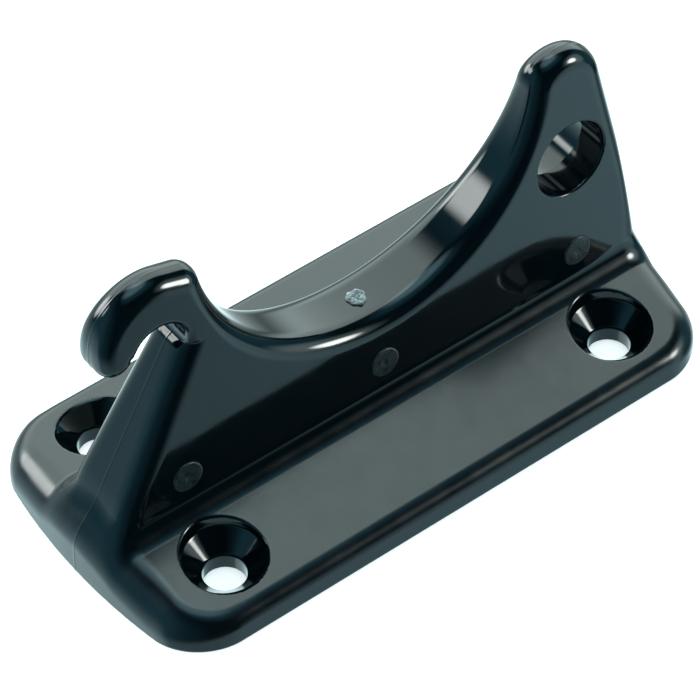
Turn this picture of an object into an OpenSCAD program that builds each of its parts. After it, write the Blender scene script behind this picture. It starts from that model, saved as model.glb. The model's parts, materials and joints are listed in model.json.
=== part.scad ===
// Pole chock with a cord hook and a cord eye, one black plastic moulding.
// X runs along the base (hook at -X, eye at +X), Y runs across it, Z is up.
// The origin is the middle of the flat underside.

/* [Base plate] */
// Overall length of the base along its centre line
base_len = 90; // [88:0.5:94]
// Overall width of the base
base_w = 44; // [43:0.5:48]
// Plan radius of the four corners
corner_r = 7; // [5:0.5:8]
// Plan radius of the two bowed ends
end_bow_r = 90; // [80:5:140]
// Height at which the two sloping top faces would meet over the centre line
ridge_z = 8.8; // [8.4:0.1:9.4]
// Fall of the top faces toward the long edges, in degrees
roof_angle = 11; // [9:0.5:12]
// Radius of the rounded upper edge of the base
shoulder_r = 1.9; // [1.2:0.1:2.4]
// How far the top faces stop short of each end
end_inset = 3.6; // [3:0.2:5]

/* [Screw holes] */
// Distance between the holes along the base
hole_pitch_x = 63; // [60:0.5:64]
// Distance between the holes across the base
hole_pitch_y = 27; // [26:0.5:28]
// Diameter of the through holes
hole_d = 5.6; // [4.5:0.1:6]
// Diameter of the recesses that hide the screw heads
recess_d = 11; // [10:0.5:11.5]
// Height at which the 90 degree countersink narrows to the through hole
sink_z = 2.6; // [2:0.1:3]

/* [Upright] */
// Half thickness of the upright where it stands on the base
half_root = 6.2; // [5.8:0.1:6.4]
// Lean of each face of the upright toward the middle, in degrees
face_lean = 5.8; // [5.5:0.1:6.5]
// Radius of the fillet between the upright and the base
root_fillet_r = 3; // [2:0.25:3.5]

/* [Cradle] */
// Radius of the cradle that holds the pole
cradle_r = 26; // [24:0.5:26.5]
// Height of the cradle's centre above the underside
cradle_z = 46.7; // [46.2:0.1:48]
// Depth of the band of plastic under the cradle
saddle_depth = 4; // [3:0.5:5]

/* [Hook horn] */
// Outer radius of the hook
hook_outer_r = 8.6; // [8.2:0.1:8.8]
// Radius of the round space inside the hook
hook_inner_r = 3.9; // [3.5:0.1:4.1]
// Radius of the lip between the hook's top and the cradle
lip_r = 3; // [2.5:0.1:3.2]
// Slope of the leg below the hook, in degrees from the vertical
leg_angle = 28.5; // [28:0.5:29]
// Thickness of the leg, measured level
leg_w = 6.5; // [6:0.25:7]

/* [Eye horn] */
// Radius of the rounded tip
tip_r = 6.4; // [6:0.1:6.5]
// Diameter of the cord eye
eye_d = 10.6; // [8:0.2:11]
// Slope of the outer edge, in degrees from the vertical
horn_angle = 12.3; // [12:0.1:12.6]

/* [Moulding marks] */
// Diameter of the discs that the ejector pins leave
pin_mark_d = 4.8; // [3:0.1:5]
// Width of the broken-off gate on the cradle
gate_w = 2.4; // [1.5:0.1:3]

/* [Hidden] */
$fn = 360;
plastic = [0.04, 0.05, 0.055];
worn_plastic = [0.22, 0.24, 0.24];
big = 200;
sheet = 0.1;

// Lines of the cross section: the sloping roof of the base and the leaning face
roof_fall = tan(roof_angle);
lean = tan(face_lean);
face_z0 = 9;
top_z = 46.5;
function roof_z(y) = ridge_z - roof_fall * abs(y);
function half_upright(z) = half_root - lean * (z - face_z0);

// Centre of the root fillet, which touches both of those lines, and its two contacts
roof_step = root_fillet_r / cos(roof_angle);
face_step = root_fillet_r / cos(face_lean);
face_reach = half_root + lean * face_z0 + face_step;
fillet_z = (ridge_z + roof_step - roof_fall * face_reach) / (1 - roof_fall * lean);
fillet_y = face_reach - lean * fillet_z;
toe_y = fillet_y - root_fillet_r * sin(roof_angle);
toe_z = fillet_z - root_fillet_r * cos(roof_angle);
contact_y = fillet_y - root_fillet_r * cos(face_lean);
contact_z = fillet_z - root_fillet_r * sin(face_lean);

// Base plate
sink_depth = (recess_d - hole_d) / 2;
half_len = base_len / 2;
half_w = base_w / 2;
corner_y = half_w - corner_r;
end_sag = end_bow_r - sqrt(end_bow_r^2 - corner_y^2);
corner_x = half_len - end_sag - corner_r;
shoulder_z = roof_z(half_w - shoulder_r) - shoulder_r / cos(roof_angle);
bow_steps = 4;
bow_pitch = 3;
nose_half = 2;

// Cradle, and the level at which the hook stands on the leg
cradle_x = 0.6;
inside_cradle_x = -20;
neck_z = 33.6;

// Hook
hook_x = -32.3;
hook_z = 36.9;
hook_tip_z = 34.8;
slot_x = -32.2;
slot_z = 34.6;
slot_floor_x = slot_x + sqrt(hook_inner_r^2 - (slot_z - neck_z)^2);
lip_z = 41.4;
lip_reach = cradle_r + lip_r;
lip_x = cradle_x - sqrt(lip_reach^2 - (cradle_z - lip_z)^2);
leg_top_x = -29.5;
leg_top_z = 32.8;

// Eye horn
tip_x = 31.3;
tip_z = 39.2;
eye_x = 31.5;
eye_z = 29.2;
horn_root_x = 22;
horn_edge_x = tip_x + tip_r * cos(horn_angle);
horn_edge_z = tip_z + tip_r * sin(horn_angle);

// Moulding marks
pin_xs = [-31, 0, 32];
pin_z = 13.4;
pin_proud = 0.15;
gate_x = -0.2;
gate_proud = 0.6;

// Left edge of the leg and right edge of the eye horn at a height
function leg_x(z) = leg_top_x - (leg_top_z - z) * tan(leg_angle);
function horn_x(z) = horn_edge_x + (horn_edge_z - z) * tan(horn_angle);

// A flat XZ shape made into a slab across Y
module across() {
    rotate([90, 0, 0]) linear_extrude(height = big, center = true) children();
}

// A flat YZ shape made into a bar along X
module along() {
    rotate([90, 0, 90]) linear_extrude(height = big, center = true) children();
}

// Cross section of the upright: two leaning faces on two root fillets
module upright_section() {
    top_y = half_upright(top_z);
    difference() {
        polygon([
            [-toe_y, toe_z], [toe_y, toe_z], [fillet_y, fillet_z], [contact_y, contact_z],
            [top_y, top_z], [-top_y, top_z], [-contact_y, contact_z], [-fillet_y, fillet_z]
        ]);
        for (side = [-1, 1]) translate([side * fillet_y, fillet_z]) circle(r = root_fillet_r);
    }
}

// Four countersinks under round recesses, which also bite into the toes of the root fillets
module screw_recesses() {
    at_holes(sink_z) cylinder(d1 = hole_d, d2 = recess_d, h = sink_depth);
    at_holes(sink_z + sink_depth) cylinder(d = recess_d, h = big);
}

// Repeats its child on the four screw axes
module at_holes(z) {
    for (sx = [-1, 1], sy = [-1, 1])
        translate([sx * hole_pitch_x / 2, sy * hole_pitch_y / 2, z]) children();
}

// Plan of the upright's foot, fillets and all, with a blunt nose at each end
module foot_outline() {
    strip_x = half_len - end_inset;
    polygon([
        [leg_x(toe_z), -nose_half], [-strip_x, -toe_y], [strip_x, -toe_y], [horn_x(toe_z), -nose_half],
        [horn_x(toe_z), nose_half], [strip_x, toe_y], [-strip_x, toe_y], [leg_x(toe_z), nose_half]
    ]);
}

// One region of the upright, given as its XZ shape
module upright() {
    color(plastic) difference() {
        intersection() {
            along() upright_section();
            across() children();
            linear_extrude(height = big) foot_outline();
        }
        screw_recesses();
    }
}

module cradle_disc(extra = 0) {
    translate([cradle_x, cradle_z]) circle(r = cradle_r + extra);
}

// Sloping-topped plate with bowed ends and a nose under the leg and under the horn
module base_plate() {
    color(plastic) difference() {
        hull() {
            linear_extrude(height = shoulder_z) for (sx = [-1, 1], sy = [-1, 1])
                translate([sx * corner_x, sy * corner_y]) circle(r = corner_r, $fn = 48);
            linear_extrude(height = shoulder_z) bowed_ends();
            for (sx = [-1, 1], sy = [-1, 1])
                translate([sx * corner_x, sy * corner_y, shoulder_z]) corner_shoulder();
            translate([0, 0, toe_z - sheet]) linear_extrude(height = sheet) foot_outline();
        }
        screw_recesses();
        at_holes(-1) cylinder(d = hole_d, h = sink_z + 2);
    }
}

// The two ends in plan, as a few points on each arc
module bowed_ends() {
    polygon([
        for (sx = [-1, 1]) for (i = [-bow_steps:bow_steps])
            [sx * (half_len - end_bow_r + sqrt(end_bow_r^2 - (i * bow_pitch)^2)),
             sx * i * bow_pitch]
    ]);
}

// Rounded upper edge of one corner
module corner_shoulder() {
    rotate_extrude($fn = 32) translate([corner_r - shoulder_r, 0]) intersection() {
        circle(r = shoulder_r, $fn = 24);
        square(shoulder_r);
    }
}

// Diagonal leg that runs down from the hook to the end of the base
module leg_shape() {
    polygon([
        [leg_x(toe_z), toe_z], [leg_top_x, leg_top_z], [slot_floor_x, neck_z],
        [leg_x(neck_z) + leg_w, neck_z], [leg_x(toe_z) + leg_w, toe_z]
    ]);
}

// Neck and arched hook, open toward the lower left
module hook_shape() {
    mouth_x = slot_x - hook_inner_r;
    outer_x = hook_x - sqrt(hook_outer_r^2 - (hook_z - hook_tip_z)^2);
    touch = [cradle_x + (lip_x - cradle_x) * cradle_r / lip_reach,
             cradle_z + (lip_z - cradle_z) * cradle_r / lip_reach];
    difference() {
        union() {
            intersection() {
                translate([hook_x, hook_z]) circle(r = hook_outer_r);
                translate([-big, hook_tip_z]) square(2 * big);
            }
            polygon([
                [slot_x, neck_z], [inside_cradle_x, neck_z], touch, [lip_x, lip_z],
                [lip_x, lip_z + lip_r], [hook_x, hook_z + hook_outer_r]
            ]);
            translate([lip_x, lip_z]) circle(r = lip_r);
            translate([(mouth_x + outer_x) / 2, hook_tip_z]) circle(r = (mouth_x - outer_x) / 2);
        }
        translate([slot_x, slot_z]) circle(r = hook_inner_r);
        cradle_disc();
    }
}

// Tapering horn with the round tip
module horn_shape() {
    difference() {
        union() {
            polygon([
                [horn_root_x, toe_z], [horn_x(toe_z), toe_z], [horn_edge_x, horn_edge_z],
                [tip_x, tip_z], [tip_x - tip_r, tip_z], [horn_root_x, neck_z]
            ]);
            translate([tip_x, tip_z]) circle(r = tip_r);
        }
        cradle_disc();
    }
}

// Flat wall under the saddle
module web() {
    upright() difference() {
        polygon([
            [leg_x(toe_z) + leg_w, toe_z], [leg_x(neck_z) + leg_w, neck_z],
            [horn_root_x, neck_z], [horn_root_x, toe_z]
        ]);
        cradle_disc(saddle_depth);
    }
}

// Band of plastic that carries the pole
module saddle() {
    upright() difference() {
        intersection() {
            cradle_disc(saddle_depth);
            translate([leg_top_x, 0]) square([horn_root_x - leg_top_x, neck_z]);
        }
        cradle_disc();
        leg_shape();
    }
}

module hook_leg() {
    upright() leg_shape();
}

module hook_horn() {
    upright() hook_shape();
}

module eye_horn() {
    color(plastic) difference() {
        upright() horn_shape();
        translate([eye_x, 0, eye_z]) rotate([90, 0, 0])
            cylinder(d = eye_d, h = big, center = true);
    }
}

// Stub left on the cradle where the sprue was broken off
module gate_vestige() {
    gate_z = cradle_z - cradle_r;
    color(worn_plastic) intersection() {
        translate([gate_x, 0, gate_z - 1]) cylinder(d = gate_w, h = 1 + gate_proud);
        across() cradle_disc();
    }
}

// Thin round lands left by the ejector pins on the front face of the web
module ejector_pin_marks() {
    color(worn_plastic) for (x = pin_xs)
        translate([x, -half_upright(pin_z), pin_z]) rotate([90 - face_lean, 0, 0])
            cylinder(d = pin_mark_d, h = pin_proud);
}

base_plate();
web();
saddle();
hook_horn();
hook_leg();
eye_horn();
gate_vestige();
ejector_pin_marks();
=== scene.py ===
"""Looks of the moulded pole chock: its finished surface, glossy black plastic, studio and camera."""
import json
from math import acos, atan2, cos, pi, radians, sin, sqrt, tan

import bmesh
import bpy
import numpy as np
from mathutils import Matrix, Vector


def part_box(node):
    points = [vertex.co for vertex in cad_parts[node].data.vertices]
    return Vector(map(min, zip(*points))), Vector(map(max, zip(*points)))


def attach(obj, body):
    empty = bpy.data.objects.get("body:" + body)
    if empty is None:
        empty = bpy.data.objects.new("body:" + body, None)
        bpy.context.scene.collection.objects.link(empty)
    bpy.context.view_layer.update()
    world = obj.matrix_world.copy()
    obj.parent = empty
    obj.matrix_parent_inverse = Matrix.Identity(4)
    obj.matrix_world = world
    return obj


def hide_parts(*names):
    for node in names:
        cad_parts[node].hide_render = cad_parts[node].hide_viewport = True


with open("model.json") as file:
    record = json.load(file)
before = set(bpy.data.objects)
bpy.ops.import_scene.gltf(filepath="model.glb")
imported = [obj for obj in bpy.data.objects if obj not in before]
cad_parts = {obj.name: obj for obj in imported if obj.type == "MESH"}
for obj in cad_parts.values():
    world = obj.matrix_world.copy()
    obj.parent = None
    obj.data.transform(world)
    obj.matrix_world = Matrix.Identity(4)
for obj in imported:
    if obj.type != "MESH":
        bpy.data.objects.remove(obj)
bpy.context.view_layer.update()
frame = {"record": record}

import openvdb
from mathutils import Vector

MM = 0.001
MOUNTS = {mount["name"]: mount for mount in frame["record"]["mounts"]}


def in_mm(values):
    return [value / MM for value in values]


# ---------------------------------------------------------------- sizes, in millimetres
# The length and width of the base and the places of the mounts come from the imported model.
_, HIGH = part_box("base_plate")
HALF_LEN, HALF_W, _ = in_mm(HIGH)
CRADLE_X, _, CRADLE_Z = in_mm(MOUNTS["pole_cradle"]["pos_m"])
CRADLE_R = MOUNTS["pole_cradle"]["dims"]["r_mm"]
SLOT_X, _, SLOT_Z = in_mm(MOUNTS["cord_hook"]["pos_m"])
SLOT_R = MOUNTS["cord_hook"]["dims"]["r_mm"]
EYE_X, _, EYE_Z = in_mm(MOUNTS["cord_eye"]["pos_m"])
EYE_R = MOUNTS["cord_eye"]["dims"]["r_mm"]
SCREWS = MOUNTS["deck_screws"]["dims"]
HOLE_X = SCREWS["spacing_x_mm"] / 2
HOLE_Y = SCREWS["spacing_y_mm"] / 2
HOLE_R = SCREWS["hole_r_mm"]

# Base plate
CORNER_R = 7.0
END_BOW_R = 90.0
RIDGE_Z = 8.8
ROOF_FALL = tan(radians(11))
SIDE_DRAFT = tan(radians(1.5))
SHOULDER_R = 1.9
END_SHOULDER_R = 4.8
END_BLEND = 9.0
BOTTOM_EDGE_R = 0.3

# Screw recesses: a 90 degree countersink, narrowing to the hole at SINK_Z, under a round recess
RECESS_R = 5.5
SINK_Z = 2.6
SINK_R = 0.2
RIM_R = 0.35
HOLE_RIM_R = 0.2

# Upright
HALF_ROOT = 6.2
FACE_Z0 = 9.0
FACE_LEAN = radians(5.8)
EDGE_R = 2.6
SLOT_RIM_R = 1.1
EYE_RIM_R = 0.3
EYE_WAIST_R = EYE_R - 0.15
EYE_DRAFT = tan(radians(4.5))
ROOT_FILLET = 2.9
FULL_ROUND = 0.96
NOSE_R = 3.0
NOSE_FREE = 8.0
NOSE_REACH = 1.5
NOSE_FADE = (0.5, 3.0)
LEG_TOP_EDGE_R = 0.4

# Outline of the upright
LEG_ANGLE = radians(28.5)
LEG_TOP = np.array([-29.5, 32.8])
LEG_TOP_SLOPE = radians(33)
LEG_TOP_R = 1.0
SLOT_FLOOR_R = 1.0
HOOK = np.array([-32.3, 36.9])
HOOK_R = 8.6
HOOK_TIP_R = 2.5
LIP_R = 3.0
LIP_Z = 41.4
TIP = np.array([31.3, 39.2])
TIP_R = 6.4
TIP_INNER_R = 4.0
HORN_ANGLE = radians(12.3)
DEEP_Z = -8.0

# Planes where the moulding is divided into its named regions
LEG_W = 6.5
NECK_Z = 33.6
SADDLE_DEPTH = 4.0
HORN_ROOT_X = 22.0

# Marks left by the mould
PARTING_H = 0.04
PARTING_W = 0.2
CRADLE_FADE = (0.5, 2.0)
PIN_X = (-31.0, 0.0, 32.0)
PIN_Z = 13.4
PIN_R = 2.2
PIN_PROUD = 0.08
PIN_RINGS = 0.12
PIN_DIMPLE = 0.35
GATE_X = -0.2
GATE_R = 1.3
GATE_PROUD = 0.45
GATE_LUMPS = 0.07

# Finish: roughness ranges, the height over which satin turns to gloss, and linear colours
GLOSS_ROUGHNESS = (0.05, 0.10)
SATIN_ROUGHNESS = (0.17, 0.25)
DULL_ROUGHNESS = (0.22, 0.42)
GLOSS_RISE = 1.2
PLASTIC_IOR = 1.5
BLACK_TINTS = ((0.0003, 0.0018, 0.0028, 1), (0.0009, 0.0030, 0.0040, 1))
PRINT_TINTS = ((0.0015, 0.005, 0.007, 1), (0.008, 0.018, 0.021, 1))
TORN_TINTS = ((0.08, 0.095, 0.095, 1), (0.32, 0.35, 0.35, 1))

# Patterns in the plastic: scales per metre, depths in metres, and the values that get stretched
TINT_SCALE = 90
POLISH_SCALE = 260
WAVE_SCALE = 70
WAVE_DEPTH = 0.00004
PEEL_SCALE = 1400
PEEL_DEPTH = 0.0000015
BLOTCH_SCALE = 1500
DULL_SCALE = 900
PIT_SCALE = 2500
PIT_DEPTH = 0.00003
MIDDLE_RANGE = (0.3, 0.7)
BLOTCH_RANGE = (0.42, 0.65)

# Studio: linear colours of the light, and the floor, in metres
COOL = (0.62, 1.0, 1.1)
TEAL = (0.30, 1.0, 1.35)
PALE = (0.82, 1.0, 0.98)
WHITE = (0.95, 1.0, 0.97)
FLOOR_REACH = 3.0
PAPER_COLOUR = (0.9, 0.9, 0.9, 1)
PAPER_ROUGHNESS = 0.9
PAPER_GLOW = 0.7

# Camera: directions in degrees, distances in metres, lens and sensor in millimetres
CAMERA_AZIMUTH = -37.95
CAMERA_ELEVATION = 47.64
CAMERA_DISTANCE = 0.4795
CAMERA_TARGET = (-0.00027, 0.00116, 0.010)
CAMERA_LENS = 191.7
CAMERA_SENSOR = 36
CAMERA_CLIP = (0.01, 10)

# Mesh: the small discs' rings and spokes, the grid's pitch, and tolerances, in millimetres
BUTTON_RINGS = 24
BUTTON_SPOKES = 96
BUTTON_SINK = 0.4
VOXEL = 0.25
NORMAL_STEP = 0.03
RADIUS_BLEND = 0.4
TINY = 1e-6
FLAT_Z = 1e-3
SEAM_LIFT = 0.03
SNAP_PASSES = 3
RIDGE_PASSES = 2
LEAST_SLOPE = 0.5
RIDGE_CUTS = (0, 0.25, 0.5, 0.75, 1)


# ---------------------------------------------------------------- outline of the upright
def direction(angle):
    return np.array([cos(angle), sin(angle)])


def toward(start, end, distance):
    """The point at a distance from start in the direction of end."""
    gap = end - start
    return start + gap * distance / np.hypot(*gap)


def circle_meeting(c1, r1, c2, r2):
    """The point at r1 from c1 and r2 from c2 that lies on the left of the way from c1 to c2."""
    gap = c2 - c1
    distance = np.hypot(*gap)
    along = (distance ** 2 + r1 ** 2 - r2 ** 2) / (2 * distance)
    height = sqrt(r1 ** 2 - along ** 2)
    unit = gap / distance
    return c1 + along * unit + height * np.array([-unit[1], unit[0]])


def line_circle(point, unit, centre, radius):
    """Where a line leaves a circle, going along unit."""
    offset = point - centre
    middle = -offset @ unit
    reach = sqrt(middle ** 2 - offset @ offset + radius ** 2)
    return point + (middle + reach) * unit


class Arc:
    """A round stretch, counterclockwise from start to end; convex if the plastic is inside its circle."""

    def __init__(self, centre, radius, start, end, convex, edge_r):
        self.centre, self.radius, self.ends = centre, radius, (start, end)
        self.side = 1 if convex else -1
        self.edge_r = edge_r
        angles = [atan2(*(point - centre)[::-1]) for point in self.ends]
        self.start = angles[0]
        self.sweep = (angles[1] - angles[0]) % (2 * pi)

    def measure(self, x, z):
        dx, dz = x - self.centre[0], z - self.centre[1]
        signed = (np.hypot(dx, dz) - self.radius) * self.side
        beside = (np.arctan2(dz, dx) - self.start) % (2 * pi) <= self.sweep
        return signed, np.where(beside, np.abs(signed), to_ends(self.ends, x, z))


class Line:
    """A straight stretch, with the plastic on the right of the way from start to end."""

    def __init__(self, start, end, edge_r):
        self.ends = (start, end)
        self.edge_r = edge_r
        self.length = np.hypot(*(end - start))
        self.unit = (end - start) / self.length

    def measure(self, x, z):
        dx, dz = x - self.ends[0][0], z - self.ends[0][1]
        signed = dz * self.unit[0] - dx * self.unit[1]
        along = dx * self.unit[0] + dz * self.unit[1]
        beside = (along >= 0) & (along <= self.length)
        return signed, np.where(beside, np.abs(signed), to_ends(self.ends, x, z))


def to_ends(ends, x, z):
    return np.minimum(*(np.hypot(x - end[0], z - end[1]) for end in ends))


def upright_outline():
    """Tangent arcs and lines from the leg's foot, over hook and cradle, to the eye horn's foot."""
    slot = np.array([SLOT_X, SLOT_Z])
    cradle = np.array([CRADLE_X, CRADLE_Z])

    nose_up = direction(pi / 2 - LEG_ANGLE)
    top_on = direction(LEG_TOP_SLOPE)
    into_nose = np.array([nose_up[1], -nose_up[0]])
    into_top = np.array([top_on[1], -top_on[0]])
    foot = LEG_TOP + nose_up * (DEEP_Z - LEG_TOP[1]) / nose_up[1]
    corner = LEG_TOP + LEG_TOP_R * (into_nose + into_top) / (1 + into_nose @ into_top)
    corner_start = corner - LEG_TOP_R * into_nose
    corner_end = corner - LEG_TOP_R * into_top

    floor = line_circle(LEG_TOP - SLOT_FLOOR_R * into_top, top_on, slot, SLOT_R - SLOT_FLOOR_R)
    floor_start = floor + SLOT_FLOOR_R * into_top
    slot_start = toward(slot, floor, SLOT_R)

    tip = circle_meeting(slot, SLOT_R + HOOK_TIP_R, HOOK, HOOK_R - HOOK_TIP_R)
    slot_end = toward(slot, tip, SLOT_R)
    hook_start = toward(HOOK, tip, HOOK_R)

    lip_reach = CRADLE_R + LIP_R
    lip = np.array([CRADLE_X - sqrt(lip_reach ** 2 - (CRADLE_Z - LIP_Z) ** 2), LIP_Z])
    gap = lip - HOOK
    lean = atan2(gap[1], gap[0]) + acos((HOOK_R - LIP_R) / np.hypot(*gap))
    hook_end = HOOK + HOOK_R * direction(lean)
    lip_start = lip + LIP_R * direction(lean)
    lip_end = toward(lip, cradle, LIP_R)

    inner = circle_meeting(cradle, CRADLE_R + TIP_INNER_R, TIP, TIP_R - TIP_INNER_R)
    cradle_end = toward(cradle, inner, CRADLE_R)
    tip_start = toward(TIP, inner, TIP_R)
    tip_end = TIP + TIP_R * direction(HORN_ANGLE)
    down = direction(HORN_ANGLE - pi / 2)
    horn_foot = tip_end + down * (DEEP_Z - tip_end[1]) / down[1]

    return [
        Line(foot, corner_start, SLOT_RIM_R),
        Arc(corner, LEG_TOP_R, corner_end, corner_start, True, SLOT_RIM_R),
        Line(corner_end, floor_start, SLOT_RIM_R),
        Arc(floor, SLOT_FLOOR_R, floor_start, slot_start, False, SLOT_RIM_R),
        Arc(slot, SLOT_R, slot_start, slot_end, False, SLOT_RIM_R),
        Arc(tip, HOOK_TIP_R, hook_start, slot_end, True, EDGE_R),
        Arc(HOOK, HOOK_R, hook_end, hook_start, True, EDGE_R),
        Line(hook_end, lip_start, EDGE_R),
        Arc(lip, LIP_R, lip_end, lip_start, True, EDGE_R),
        Arc(cradle, CRADLE_R, lip_end, cradle_end, False, EDGE_R),
        Arc(inner, TIP_INNER_R, tip_start, cradle_end, True, EDGE_R),
        Arc(TIP, TIP_R, tip_end, tip_start, True, EDGE_R),
        Line(tip_end, horn_foot, EDGE_R),
    ]


OUTLINE = upright_outline()


def profile(x, z):
    """Signed distance from the outline, negative in the plastic, and the edge radius that holds nearby."""
    nearest = np.full(np.broadcast(x, z).shape, np.inf)
    signed = nearest.copy()
    radius = np.zeros(nearest.shape)
    weights = np.zeros(nearest.shape)
    for stretch in OUTLINE:
        side, distance = stretch.measure(x, z)
        closer = distance < nearest
        nearest = np.where(closer, distance, nearest)
        signed = np.where(closer, np.copysign(distance, side), signed)
        weight = (distance ** 2 + RADIUS_BLEND ** 2) ** -2.0
        weights += weight
        radius += weight * stretch.edge_r
    return signed, radius / weights


# ---------------------------------------------------------------- the moulding as one distance field
def round_and(a, b, radius):
    """Where two solids overlap, with their common edge rounded."""
    corner = np.hypot(np.maximum(a + radius, 0), np.maximum(b + radius, 0))
    return np.minimum(np.maximum(a, b), -radius) + corner


def round_or(a, b, radius):
    """Two solids joined, with a fillet in their common corner."""
    corner = np.hypot(np.maximum(radius - a, 0), np.maximum(radius - b, 0))
    return np.maximum(np.minimum(a, b), radius) - corner


def smooth(share):
    share = np.clip(share, 0, 1)
    return share * share * (3 - 2 * share)


def ramp(value, start, end):
    """0 up to start, 1 from end on, and smooth in between."""
    return smooth((value - start) / (end - start))


def roof_height(y):
    return RIDGE_Z - ROOF_FALL * np.abs(y)


def half_upright(z):
    return HALF_ROOT - tan(FACE_LEAN) * (z - FACE_Z0)


def leg_edge(z):
    """The x of the leg's left edge at a height."""
    return LEG_TOP[0] - (LEG_TOP[1] - z) * tan(LEG_ANGLE)


def nose_line(x, z):
    """Distance from the leg's sloping front line, let go above the leg's top and well left of the leg."""
    line = (leg_edge(z) - x) * cos(LEG_ANGLE)
    line = line - NOSE_FREE * ramp(z - LEG_TOP[1], *NOSE_FADE)
    return np.where(leg_edge(z) - x > NOSE_REACH, -NOSE_FREE, line)


def walls_of_base(x, y, z):
    """Distance from the drafted side walls, and the radius of the shoulder above them."""
    end = np.hypot(np.abs(x) + END_BOW_R - HALF_LEN, y) - END_BOW_R
    side = np.abs(y) - HALF_W
    walls = round_and(end, side, CORNER_R) + SIDE_DRAFT * z
    at_end = smooth((end - side) / (2 * END_BLEND) + 0.5)
    return walls, SHOULDER_R + (END_SHOULDER_R - SHOULDER_R) * at_end


def moulding(x, y, z):
    """Signed distance, roughly, from the surface of the whole moulding; negative inside."""
    outline, edge_r = profile(x, z)
    half = half_upright(z)
    faces = (np.abs(y) - half) * cos(FACE_LEAN)
    upright = round_and(outline, faces, np.minimum(edge_r, FULL_ROUND * half))
    nose = round_and(nose_line(x, z), faces, np.minimum(NOSE_R, FULL_ROUND * half))
    upright = round_and(upright, nose, LEG_TOP_EDGE_R)
    roof = (z - roof_height(y)) * cos(atan2(ROOF_FALL, 1))
    walls, shoulder = walls_of_base(x, y, z)
    solid = round_and(round_or(upright, roof, ROOT_FILLET), walls, shoulder)
    # The parting ridge stands on the middle plane, except on the cradle; the rest is set in by its height.
    past_cradle = ramp(np.hypot(x - CRADLE_X, z - CRADLE_Z) - CRADLE_R, *CRADLE_FADE)
    solid = solid + PARTING_H * (1 - past_cradle * (1 - smooth(np.abs(y) / PARTING_W)))
    solid = round_and(solid, -z, BOTTOM_EDGE_R)

    reach = np.hypot(np.abs(x) - HOLE_X, np.abs(y) - HOLE_Y)
    sink = (reach - HOLE_R - z + SINK_Z) / sqrt(2)
    void = round_or(round_and(reach - RECESS_R, sink, SINK_R), reach - HOLE_R, HOLE_RIM_R)
    solid = round_and(solid, -void, RIM_R)
    eye = np.hypot(x - EYE_X, z - EYE_Z) - EYE_WAIST_R - EYE_DRAFT * np.abs(y)
    return round_and(solid, -eye, EYE_RIM_R)


def slope(x, y, z):
    """Unit gradient of the field: the outward normal at the surface."""
    step = NORMAL_STEP
    parts = [
        moulding(x + step, y, z) - moulding(x - step, y, z),
        moulding(x, y + step, z) - moulding(x, y - step, z),
        moulding(x, y, z + step) - moulding(x, y, z - step),
    ]
    gradient = np.stack(parts, axis=-1) / (2 * step)
    size = np.linalg.norm(gradient, axis=-1, keepdims=True)
    return gradient / size, size[..., 0]


# ---------------------------------------------------------------- one half of the surface
def keep(points, triangles, wanted):
    """The triangles whose three corners are wanted, with the other points dropped."""
    triangles = triangles[wanted[triangles].all(axis=1)]
    used = np.unique(triangles)
    place = np.zeros(len(points), np.int64)
    place[used] = np.arange(len(used))
    return points[used], place[triangles]


def half_surface():
    """Points and triangles of the surface on the front side of the middle plane, in millimetres."""
    axes = [np.arange(low, high, VOXEL) for low, high in (
        (-HALF_LEN - 2 * VOXEL, HALF_LEN + 3 * VOXEL),
        (-HALF_W - 2 * VOXEL, 3 * VOXEL),
        (-2 * VOXEL, TIP[1] + TIP_R + 3 * VOXEL),
    )]
    x, y, z = np.meshgrid(*axes, indexing="ij", sparse=True)
    grid = openvdb.FloatGrid()
    grid.copyFromArray(moulding(x, y, z).astype(np.float32))
    points, triangles, quads = grid.convertToPolygons(isovalue=0.0)
    points = points.astype(float) * VOXEL + [axis[0] for axis in axes]
    quads = quads.astype(np.int64)
    halves = [quads[:, [0, 1, 2]], quads[:, [0, 2, 3]]]
    triangles = np.concatenate([triangles.astype(np.int64)] + halves)
    points, triangles = keep(points, triangles, points[:, 1] < VOXEL)
    for _ in range(SNAP_PASSES):
        normal, size = slope(*points.T)
        points -= normal * (moulding(*points.T) / np.maximum(size, LEAST_SLOPE))[:, None]
    return points, triangles


# ---------------------------------------------------------------- dividing it into the named regions
def slice_surface(points, triangles, labels, height):
    """Adds points where the triangles cross height = 0, so that every triangle lies on one side of it."""
    height = np.where(np.abs(height) < TINY, TINY, height)
    above = height > 0
    sides = above[triangles]
    crossed = sides.any(axis=1) & ~sides.all(axis=1)
    cut, cut_sides = triangles[crossed], sides[crossed]

    lone = np.where(cut_sides.sum(axis=1) == 1, cut_sides.argmax(axis=1), cut_sides.argmin(axis=1))
    rows = np.arange(len(cut))
    a, b, c = (cut[rows, (lone + step) % 3] for step in range(3))
    edges = np.sort(np.concatenate([np.stack([a, b], 1), np.stack([a, c], 1)]), axis=1)
    edges, place = np.unique(edges, axis=0, return_inverse=True)
    low, high = height[edges[:, 0]], height[edges[:, 1]]
    share = (low / (low - high))[:, None]
    fresh = points[edges[:, 0]] * (1 - share) + points[edges[:, 1]] * share
    ab, ac = (place.reshape(2, -1) + len(points))

    split = [(a, ab, ac), (ab, b, c), (ab, c, ac)]
    pieces = [triangles[~crossed]] + [np.stack(corners, 1) for corners in split]
    lone_above = above[a]
    signs = [sides[~crossed].all(axis=1), lone_above, ~lone_above, ~lone_above]
    old = [labels[~crossed]] + [labels[crossed]] * 3
    labels = np.concatenate([np.column_stack([label, sign]) for label, sign in zip(old, signs)])
    return np.concatenate([points, fresh]), np.concatenate(pieces), labels


def neck_height(x):
    """The height that divides hook and neck from leg and saddle; it runs down through the hook's mouth."""
    return NECK_Z + np.minimum(x - SLOT_X, 0)


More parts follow.
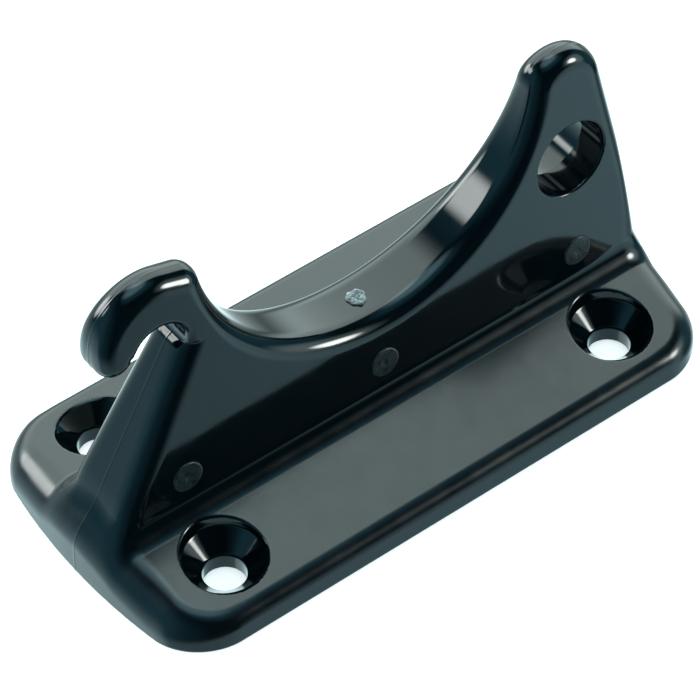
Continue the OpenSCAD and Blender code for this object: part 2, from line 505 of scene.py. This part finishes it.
def divide(points, triangles):
    """Slices the surface along every border, and says which region each triangle belongs to."""
    ridge = [lambda x, y, z, share=share: y + share * PARTING_W for share in RIDGE_CUTS]
    borders = [
        lambda x, y, z: z - roof_height(y) - SEAM_LIFT,
        lambda x, y, z: x - HORN_ROOT_X,
        lambda x, y, z: z - neck_height(x),
        lambda x, y, z: x - leg_edge(z) - LEG_W,
        lambda x, y, z: np.hypot(x - CRADLE_X, z - CRADLE_Z) - CRADLE_R - SADDLE_DEPTH,
    ]
    labels = np.zeros((len(triangles), 0), bool)
    for border in ridge + borders:
        points, triangles, labels = slice_surface(points, triangles, labels, border(*points.T))
    behind = labels[:, 0]
    standing, in_horn, in_hook, past_leg, under_saddle = labels[:, len(ridge):].T
    regions = {
        "base_plate": ~standing,
        "eye_horn": standing & in_horn,
        "hook_horn": standing & ~in_horn & in_hook,
        "hook_leg": standing & ~in_horn & ~in_hook & ~past_leg,
        "saddle": standing & ~in_horn & ~in_hook & past_leg & ~under_saddle,
        "web": standing & ~in_horn & ~in_hook & past_leg & under_saddle,
    }
    return points, {node: triangles[members & ~behind] for node, members in regions.items()}


def settle_ridge(points):
    """Puts the points near the middle plane back on the surface, so that they follow the parting ridge."""
    near = np.abs(points[:, 1]) < 2 * PARTING_W
    x, y, z = points[near].T
    y = np.where(np.abs(y) < 2 * TINY, 0, y)
    for _ in range(RIDGE_PASSES):
        normal, size = slope(x, y, z)
        across = np.maximum(np.hypot(normal[:, 0], normal[:, 2]), LEAST_SLOPE)
        step = moulding(x, y, z) / (size * across)
        x, z = x - step * normal[:, 0] / across, z - step * normal[:, 2] / across
    points[near] = np.stack([x, y, z], axis=1)


def flat_underside(points, skin):
    """Takes the fine grid off the flat underside, and returns faces that reach from rim to rim instead."""
    flat = (points[:, 2] < FLAT_Z)[skin].all(axis=1)
    under = skin[flat]
    edges = np.concatenate([under[:, [0, 1]], under[:, [1, 2]], under[:, [2, 0]]])
    keys = edges[:, 0] * len(points) + edges[:, 1]
    back = edges[:, 1] * len(points) + edges[:, 0]
    rim = edges[~np.isin(keys, back)]
    mesh = bmesh.new()
    numbers = np.unique(rim).tolist()
    vertices = {number: mesh.verts.new(points[number]) for number in numbers}
    mesh.verts.index_update()
    for start, end in rim.tolist():
        mesh.edges.new((vertices[start], vertices[end]))
    bmesh.ops.triangle_fill(mesh, use_beauty=True, edges=mesh.edges[:], normal=(0, 0, -1))
    faces = []
    for face in mesh.faces:
        corners = [numbers[vertex.index] for vertex in face.verts]
        faces.append(corners if face.normal.z < 0 else corners[::-1])
    mesh.free()
    return skin[~flat], faces


def whole_region(points, triangles):
    """Both halves of one region. Returns its points, its skin, and the caps toward its neighbours."""
    used = np.unique(triangles)
    place = np.full(len(points), -1)
    place[used] = np.arange(len(used))
    points, triangles = points[used], place[triangles]
    twin = np.arange(len(points))
    off = points[:, 1] != 0
    twin[off] = len(points) + np.arange(off.sum())
    both = np.concatenate([points, points[off] * [1, -1, 1]])
    skin = np.concatenate([triangles, twin[triangles][:, ::-1]])

    edges = np.concatenate([triangles[:, [0, 1]], triangles[:, [1, 2]], triangles[:, [2, 0]]])
    keys = edges[:, 0] * len(both) + edges[:, 1]
    back = edges[:, 1] * len(both) + edges[:, 0]
    open_edges = edges[~np.isin(keys, back)]
    open_edges = open_edges[off[open_edges].any(axis=1)]
    i, j = open_edges.T
    caps = [[a for k, a in enumerate(quad) if a not in quad[:k]]
            for quad in np.stack([j, i, twin[i], twin[j]], 1).tolist()]
    return both, skin, caps


# ---------------------------------------------------------------- materials
def node_tree(name):
    material = bpy.data.materials.new(name)
    material.use_nodes = True
    return material, material.node_tree.nodes, material.node_tree.links


def noise(nodes, links, scale, detail, roughness=0.5):
    """A noise pattern in the object's own space, in metres."""
    coordinates = nodes.get("Coordinates") or nodes.new("ShaderNodeTexCoord")
    coordinates.name = "Coordinates"
    pattern = nodes.new("ShaderNodeTexNoise")
    pattern.inputs["Scale"].default_value = scale
    pattern.inputs["Detail"].default_value = detail
    pattern.inputs["Roughness"].default_value = roughness
    links.new(coordinates.outputs["Object"], pattern.inputs["Vector"])
    return pattern.outputs["Fac"]


def spread(nodes, links, value, low, high, start=0.0, end=1.0):
    """Maps a pattern's values from start..end to low..high."""
    mapping = nodes.new("ShaderNodeMapRange")
    for name, number in (("From Min", start), ("From Max", end), ("To Min", low), ("To Max", high)):
        mapping.inputs[name].default_value = number
    links.new(value, mapping.inputs["Value"])
    return mapping.outputs["Result"]


def bump(nodes, links, height, distance, below=None):
    """Raises the surface by a pattern, on top of another bump."""
    node = nodes.new("ShaderNodeBump")
    node.inputs["Strength"].default_value = 1.0
    node.inputs["Distance"].default_value = distance
    links.new(height, node.inputs["Height"])
    if below is not None:
        links.new(below, node.inputs["Normal"])
    return node.outputs["Normal"]


def above_roof(nodes, links):
    """0 on the base plate, rising to 1 a little above its sloping top faces."""
    split = nodes.new("ShaderNodeSeparateXYZ")
    links.new(nodes["Coordinates"].outputs["Object"], split.inputs["Vector"])
    aside = nodes.new("ShaderNodeMath")
    aside.operation = "ABSOLUTE"
    links.new(split.outputs["Y"], aside.inputs[0])
    level = nodes.new("ShaderNodeMath")
    level.operation = "MULTIPLY_ADD"
    level.inputs[1].default_value = ROOF_FALL
    links.new(aside.outputs["Value"], level.inputs[0])
    links.new(split.outputs["Z"], level.inputs[2])
    start, end = RIDGE_Z * MM, (RIDGE_Z + GLOSS_RISE) * MM
    return spread(nodes, links, level.outputs["Value"], 0, 1, start, end)


def two_tints(nodes, links, tints, share):
    """Colours the shader between two tints, by a pattern."""
    tint = nodes.new("ShaderNodeMix")
    tint.data_type = "RGBA"
    tint.inputs["A"].default_value, tint.inputs["B"].default_value = tints
    links.new(share, tint.inputs["Factor"])
    links.new(tint.outputs["Result"], nodes["Principled BSDF"].inputs["Base Color"])


def black_plastic(name, satin):
    """Moulded black plastic with faint waves, fine orange peel and uneven polish; satin below the roof
    if asked."""
    material, nodes, links = node_tree(name)
    shader = nodes["Principled BSDF"]
    shader.inputs["IOR"].default_value = PLASTIC_IOR
    two_tints(nodes, links, BLACK_TINTS, noise(nodes, links, TINT_SCALE, 3))
    polish = noise(nodes, links, POLISH_SCALE, 5, 0.6)
    roughness = spread(nodes, links, polish, *GLOSS_ROUGHNESS, *MIDDLE_RANGE)
    if satin:
        blend = nodes.new("ShaderNodeMix")
        links.new(above_roof(nodes, links), blend.inputs["Factor"])
        links.new(spread(nodes, links, polish, *SATIN_ROUGHNESS, *MIDDLE_RANGE), blend.inputs["A"])
        links.new(roughness, blend.inputs["B"])
        roughness = blend.outputs["Result"]
    links.new(roughness, shader.inputs["Roughness"])
    waves = bump(nodes, links, noise(nodes, links, WAVE_SCALE, 2), WAVE_DEPTH)
    peel = bump(nodes, links, noise(nodes, links, PEEL_SCALE, 2), PEEL_DEPTH, waves)
    links.new(peel, shader.inputs["Normal"])
    return material


def witness_plastic(name, tints):
    """The same plastic where a pin pressed or a gate tore: paler, dull and finely pitted."""
    material, nodes, links = node_tree(name)
    shader = nodes["Principled BSDF"]
    shader.inputs["IOR"].default_value = PLASTIC_IOR
    blotches = noise(nodes, links, BLOTCH_SCALE, 4, 0.7)
    two_tints(nodes, links, tints, spread(nodes, links, blotches, 0, 1, *BLOTCH_RANGE))
    dull = spread(nodes, links, noise(nodes, links, DULL_SCALE, 3), *DULL_ROUGHNESS, *MIDDLE_RANGE)
    links.new(dull, shader.inputs["Roughness"])
    pits = bump(nodes, links, noise(nodes, links, PIT_SCALE, 4, 0.6), PIT_DEPTH)
    links.new(pits, shader.inputs["Normal"])
    return material


# ---------------------------------------------------------------- pieces
def add_piece(name, node, points, faces, skin_count, material):
    """One piece of the moulding, its skin shaded with the field's own normals and its caps flat."""
    mesh = bpy.data.meshes.new(name)
    mesh.from_pydata((points * MM).tolist(), [], faces)
    mesh.shade_smooth()
    normal = slope(*points.T)[0]
    corner_face = np.repeat(np.arange(len(faces)), [len(face) for face in faces])
    corner_point = np.zeros(len(mesh.loops), np.int64)
    mesh.loops.foreach_get("vertex_index", corner_point)
    flat = np.zeros(len(faces) * 3, np.float32)
    mesh.polygon_normals.foreach_get("vector", flat)
    on_skin = (corner_face < skin_count)[:, None]
    corner_normal = np.where(on_skin, normal[corner_point], flat.reshape(-1, 3)[corner_face])
    mesh.normals_split_custom_set(corner_normal.tolist())
    piece = bpy.data.objects.new(name, mesh)
    bpy.context.scene.collection.objects.link(piece)
    mesh.materials.append(material)
    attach(piece, "root")
    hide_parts(node)
    return piece


def button(name, node, centre, outward, radius, height, material):
    """A closed low disc on the surface. Its edge is radius(angle) out, and its top is
    height(share of radius, angle) up, in millimetres."""
    centre, outward = np.array(centre), np.array(outward)
    across = np.cross([0.0, 1.0, 0.0] if abs(outward[1]) < 0.5 else [1.0, 0.0, 0.0], outward)
    across /= np.linalg.norm(across)
    up = np.cross(outward, across)
    shares = np.linspace(0, 1, BUTTON_RINGS + 1)[1:]
    angles = np.arange(BUTTON_SPOKES) * 2 * pi / BUTTON_SPOKES
    share, angle = np.meshgrid(shares, angles, indexing="ij")
    reach = radius(angle) * share
    rise = height(share, angle)
    spoke_ways = np.cos(angle)[..., None] * across + np.sin(angle)[..., None] * up
    points = (centre + reach[..., None] * spoke_ways + rise[..., None] * outward).reshape(-1, 3)
    foot = points[-BUTTON_SPOKES:] - (rise[-1][:, None] + BUTTON_SINK) * outward
    top = centre + height(0.0, 0.0) * outward
    points = np.concatenate([points, foot, [top]])
    faces = []
    for spoke in range(BUTTON_SPOKES):
        beside = (spoke + 1) % BUTTON_SPOKES
        faces.append((len(points) - 1, spoke, beside))
        for ring in range(BUTTON_RINGS):
            start = ring * BUTTON_SPOKES
            outer = start + BUTTON_SPOKES
            faces.append((start + spoke, outer + spoke, outer + beside, start + beside))
    foot_start = BUTTON_RINGS * BUTTON_SPOKES
    faces.append(tuple(range(foot_start, foot_start + BUTTON_SPOKES))[::-1])
    mesh = bpy.data.meshes.new(name)
    mesh.from_pydata((points * MM).tolist(), [], faces)
    mesh.shade_smooth()
    mesh.materials.append(material)
    piece = bpy.data.objects.new(name, mesh)
    bpy.context.scene.collection.objects.link(piece)
    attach(piece, "root")
    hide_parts(node)


def build_witness_marks(print_material, torn_material):
    """The print of three ejector pins on the front face, and the broken-off gate on the cradle."""
    face = np.array([0, -cos(FACE_LEAN), sin(FACE_LEAN)])

    def even(angle):
        return PIN_R + 0 * angle

    def turned(share, angle):
        """A flat land with a rounded rim, faint turning rings and a dimple in its middle."""
        rings = PIN_RINGS * np.sin(60 * share)
        dimple = PIN_DIMPLE * smooth((0.25 - share) / 0.1)
        return PIN_PROUD * (1 - smooth((share - 0.93) / 0.07) + rings - dimple)

    for number, x in enumerate(PIN_X):
        centre = [x, -half_upright(PIN_Z) + PARTING_H / cos(FACE_LEAN), PIN_Z]
        name = f"pin_mark_{number + 1}"
        button(name, "ejector_pin_marks", centre, face, even, turned, print_material)

    def torn(angle):
        return GATE_R * (1 + 0.05 * np.sin(3 * angle) + 0.04 * np.sin(7 * angle + 1))

    def broken(share, angle):
        """A dome with torn lumps, smooth in its middle."""
        waves = np.sin(3 * angle + 7 * share) + np.sin(5 * angle - 11 * share + 1)
        waves = waves + np.sin(9 * angle + 17 * share)
        dome = GATE_PROUD * (1 - 0.45 * share ** 3)
        return dome + GATE_LUMPS * waves * smooth(share / 0.3) * (1 - 0.6 * share)

    foot = [GATE_X, 0, CRADLE_Z - CRADLE_R]
    button("gate_stub", "gate_vestige", foot, [0, 0, 1], torn, broken, torn_material)


def in_recess(points, faces):
    """Which faces lie in a screw recess, where the mould's core pins leave a polish."""
    middle = np.array([points[face].mean(axis=0) for face in faces])
    reach = np.hypot(np.abs(middle[:, 0]) - HOLE_X, np.abs(middle[:, 1]) - HOLE_Y)
    return (reach < RECESS_R + RIM_R / 2).astype(np.int32)


def build_moulding(moulded, polished):
    points, triangles = half_surface()
    points, regions = divide(points, triangles)
    settle_ridge(points)
    for node, part in regions.items():
        around, skin, caps = whole_region(points, part)
        if node == "base_plate":
            skin, underside = flat_underside(around, skin)
            caps = caps + underside
        faces = skin.tolist() + caps
        piece = add_piece(PIECE_NAMES[node], node, around, faces, len(skin), moulded)
        if node == "base_plate":
            piece.data.materials.append(polished)
            piece.data.polygons.foreach_set("material_index", in_recess(around, faces))


PIECE_NAMES = {
    "base_plate": "drilled_base_plate",
    "web": "web_panel",
    "saddle": "cradle_saddle",
    "hook_horn": "cord_hook",
    "hook_leg": "prow_leg",
    "eye_horn": "horn_with_eye",
}

build_moulding(black_plastic("moulded_black", True), black_plastic("polished_black", False))
build_witness_marks(witness_plastic("pin_print", PRINT_TINTS), witness_plastic("torn_gate", TORN_TINTS))


# ---------------------------------------------------------------- studio
def aim(azimuth, elevation):
    """Unit vector toward a place, in degrees; azimuth 0 is in front (-Y) and 90 at the right (+X)."""
    azimuth, elevation = radians(azimuth), radians(elevation)
    return Vector((sin(azimuth) * cos(elevation), -cos(azimuth) * cos(elevation), sin(elevation)))


class Surroundings:
    """The walls of the studio: soft glows added up by the world's nodes."""

    def __init__(self):
        world = bpy.data.worlds.new("studio")
        world.use_nodes = True
        bpy.context.scene.world = world
        self.nodes, self.links = world.node_tree.nodes, world.node_tree.links
        self.toward = self.nodes.new("ShaderNodeTexCoord").outputs["Generated"]
        self.total = None

    def near(self, azimuth, elevation, inner, outer):
        """1 within inner degrees of a direction, falling to 0 at outer degrees."""
        dot = self.nodes.new("ShaderNodeVectorMath")
        dot.operation = "DOT_PRODUCT"
        dot.inputs[1].default_value = aim(azimuth, elevation)
        self.links.new(self.toward, dot.inputs[0])
        fall = self.nodes.new("ShaderNodeMapRange")
        fall.interpolation_type = "SMOOTHSTEP"
        fall.inputs["From Min"].default_value = cos(radians(outer))
        fall.inputs["From Max"].default_value = cos(radians(inner))
        self.links.new(dot.outputs["Value"], fall.inputs["Value"])
        return fall.outputs["Result"]

    def add(self, colour, strength, *shapes):
        """Adds light where all the shapes overlap."""
        share = shapes[0]
        for shape in shapes[1:]:
            product = self.nodes.new("ShaderNodeMath")
            product.operation = "MULTIPLY"
            self.links.new(share, product.inputs[0])
            self.links.new(shape, product.inputs[1])
            share = product.outputs["Value"]
        light = self.nodes.new("ShaderNodeVectorMath")
        light.operation = "SCALE"
        light.inputs[0].default_value = [channel * strength for channel in colour]
        self.links.new(share, light.inputs["Scale"])
        if self.total is None:
            self.total = light.outputs["Vector"]
            return
        both = self.nodes.new("ShaderNodeVectorMath")
        self.links.new(self.total, both.inputs[0])
        self.links.new(light.outputs["Vector"], both.inputs[1])
        self.total = both.outputs["Vector"]

    def finish(self):
        self.links.new(self.total, self.nodes["Background"].inputs["Color"])


def light_walls():
    """Bright backdrop behind and above on the right, three lamps, and a dark room in front."""
    walls = Surroundings()

    # A trace of light from everywhere, and a soft patch overhead
    walls.add(TEAL, 0.025, walls.near(0, 90, 179, 180))
    walls.add(COOL, 1.7, walls.near(0, 90, 10, 26))

    # The backdrop, and the table below it
    behind = walls.near(182, 0, 83, 90)
    right = walls.near(123, 0, 78, 90)
    above = walls.near(0, 90, 75, 100)
    walls.add(PALE, 3.1, behind, right, above)
    walls.add(PALE, 0.9, walls.near(182, 0, 80, 92), walls.near(0, -90, 60, 100))

    # Dim walls on the left, above and on the right
    walls.add(TEAL, 0.25, walls.near(-120, 5, 35, 62))
    walls.add(TEAL, 0.2, walls.near(-85, 0, 20, 60))
    walls.add(TEAL, 0.45, walls.near(10, 75, 5, 35))
    walls.add(TEAL, 0.25, walls.near(78, 5, 15, 35))

    # A panel at the front right, its light on the table, and the table's own sheen
    walls.add(PALE, 1.6, walls.near(50, 15, 8, 26))
    walls.add(COOL, 1.1, walls.near(42, -20, 6, 23))
    walls.add(COOL, 0.7, walls.near(0, -90, 46, 66))

    # Three lamps: one at the front right and two behind on the left
    walls.add(WHITE, 22, walls.near(45, 17, 4, 11))
    walls.add(WHITE, 9, walls.near(-150, 17, 6, 17))
    walls.add(WHITE, 9, walls.near(-130, 31, 5, 13))
    walls.finish()


def lay_floor():
    """A plain pale floor. Glossy reflections see the walls' glows instead of it."""
    floor_mesh = bpy.data.meshes.new("floor")
    reach = FLOOR_REACH
    corners = [(-reach, -reach, 0), (reach, -reach, 0), (reach, reach, 0), (-reach, reach, 0)]
    floor_mesh.from_pydata(corners, [], [(0, 1, 2, 3)])
    floor = bpy.data.objects.new("floor", floor_mesh)
    bpy.context.scene.collection.objects.link(floor)
    paper, nodes, _ = node_tree("paper")
    nodes["Principled BSDF"].inputs["Base Color"].default_value = PAPER_COLOUR
    nodes["Principled BSDF"].inputs["Roughness"].default_value = PAPER_ROUGHNESS
    nodes["Principled BSDF"].inputs["Emission Color"].default_value = (1, 1, 1, 1)
    nodes["Principled BSDF"].inputs["Emission Strength"].default_value = PAPER_GLOW
    floor_mesh.materials.append(paper)
    floor.visible_glossy = False


light_walls()
lay_floor()


# ---------------------------------------------------------------- camera
def place_camera():
    """The view from the hook end and the front, well above."""
    away = aim(CAMERA_AZIMUTH, CAMERA_ELEVATION)
    data = bpy.data.cameras.new("camera")
    data.sensor_width = CAMERA_SENSOR
    data.lens = CAMERA_LENS
    data.clip_start, data.clip_end = CAMERA_CLIP
    camera = bpy.data.objects.new("camera", data)
    camera.location = Vector(CAMERA_TARGET) + away * CAMERA_DISTANCE
    camera.rotation_euler = (-away).to_track_quat("-Z", "Y").to_euler()
    bpy.context.scene.collection.objects.link(camera)
    bpy.context.scene.camera = camera


place_camera()
bpy.context.scene.view_settings.view_transform = "Standard"
